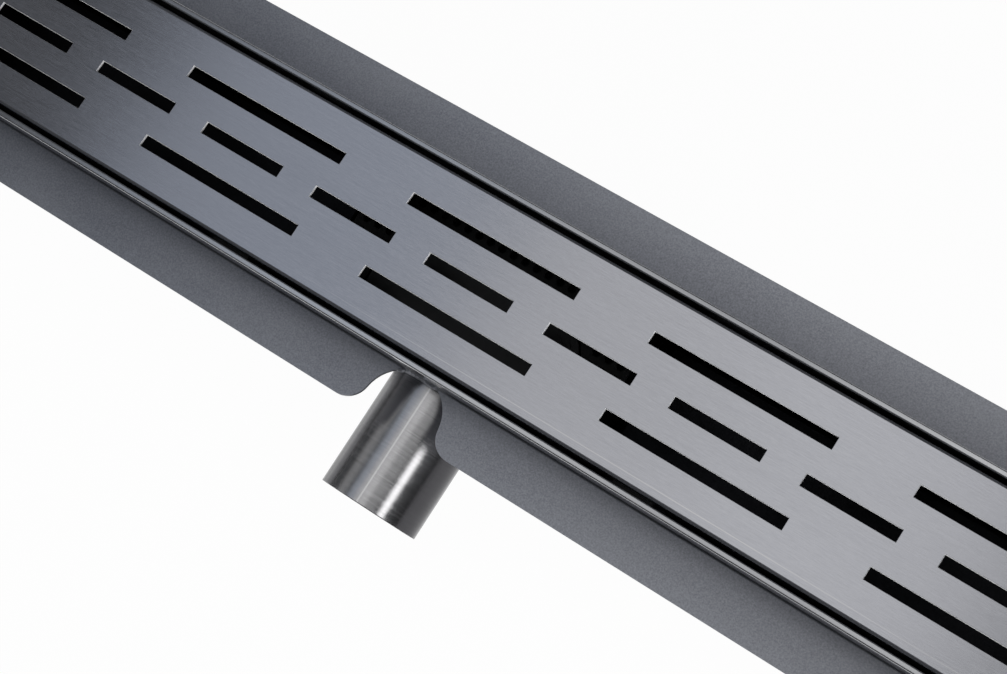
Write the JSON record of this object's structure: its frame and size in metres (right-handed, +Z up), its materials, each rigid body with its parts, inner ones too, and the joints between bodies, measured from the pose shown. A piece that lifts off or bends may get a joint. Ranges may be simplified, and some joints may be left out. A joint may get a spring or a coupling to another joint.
{
  "type": "channel drain",
  "caption": "Linear shower channel in folded stainless steel with a slotted lift-out cover, hemmed rim, tiling flange, lift-out water trap, side outlet pipe and levelling feet.",
  "frame": {"origin": "on the floor under the middle of the channel, in the plane of the foot pads at rest", "axes": "+X along the channel, -Y out along the outlet pipe, +Z up"},
  "size_m": [0.7008, 0.1764, 0.092],
  "materials": {
    "steel": "satin",
    "cover_steel": "brushed along the channel",
    "pipe_steel": "polished round the pipe",
    "zinc_steel": "bright zinc",
    "black_plastic": "moulded",
    "grey_plastic": "moulded, smooth",
    "black_rubber": "matt"
  },
  "bodies": {
    "drain": {"channel_body": "steel", "end_cap_left": "steel", "end_cap_right": "steel", "sump_box": "steel", "sump_end_left": "steel", "sump_end_right": "steel", "outlet_pipe": "pipe_steel", "cover_grate": "cover_steel", "edge_buffers": "black_rubber", "trap_cap": "grey_plastic", "cap_seal": "black_rubber", "trap_housing": "black_plastic", "outlet_seal": "black_rubber", "trap_spigot": "black_plastic", "strainer_plate": "black_plastic", "lock_nuts": "zinc_steel", "grate_ledge_near_left_1": "steel", "grate_ledge_far_left_1": "steel", "grate_ledge_near_left_2": "steel", "grate_ledge_far_left_2": "steel", "grate_ledge_near_right_1": "steel", "grate_ledge_far_right_1": "steel", "grate_ledge_near_right_2": "steel", "grate_ledge_far_right_2": "steel", "foot_bracket_near_left": "steel", "foot_bracket_far_left": "steel", "foot_bracket_near_right": "steel", "foot_bracket_far_right": "steel"},
    "foot_near_left": {"foot_rod_near_left": "zinc_steel", "foot_pad_near_left": "black_plastic"},
    "foot_far_left": {"foot_rod_far_left": "zinc_steel", "foot_pad_far_left": "black_plastic"},
    "foot_near_right": {"foot_rod_near_right": "zinc_steel", "foot_pad_near_right": "black_plastic"},
    "foot_far_right": {"foot_rod_far_right": "zinc_steel", "foot_pad_far_right": "black_plastic"}
  },
  "joints": [
    {"name": "level_near_left", "type": "slide", "parent": "drain", "child": "foot_near_left", "axis": [0, 0, -1], "range_m": [-0.008, 0.024]},
    {"name": "level_far_left", "type": "slide", "parent": "drain", "child": "foot_far_left", "axis": [0, 0, -1], "range_m": [-0.008, 0.024]},
    {"name": "level_near_right", "type": "slide", "parent": "drain", "child": "foot_near_right", "axis": [0, 0, -1], "range_m": [-0.008, 0.024]},
    {"name": "level_far_right", "type": "slide", "parent": "drain", "child": "foot_far_right", "axis": [0, 0, -1], "range_m": [-0.008, 0.024]}
  ]
}
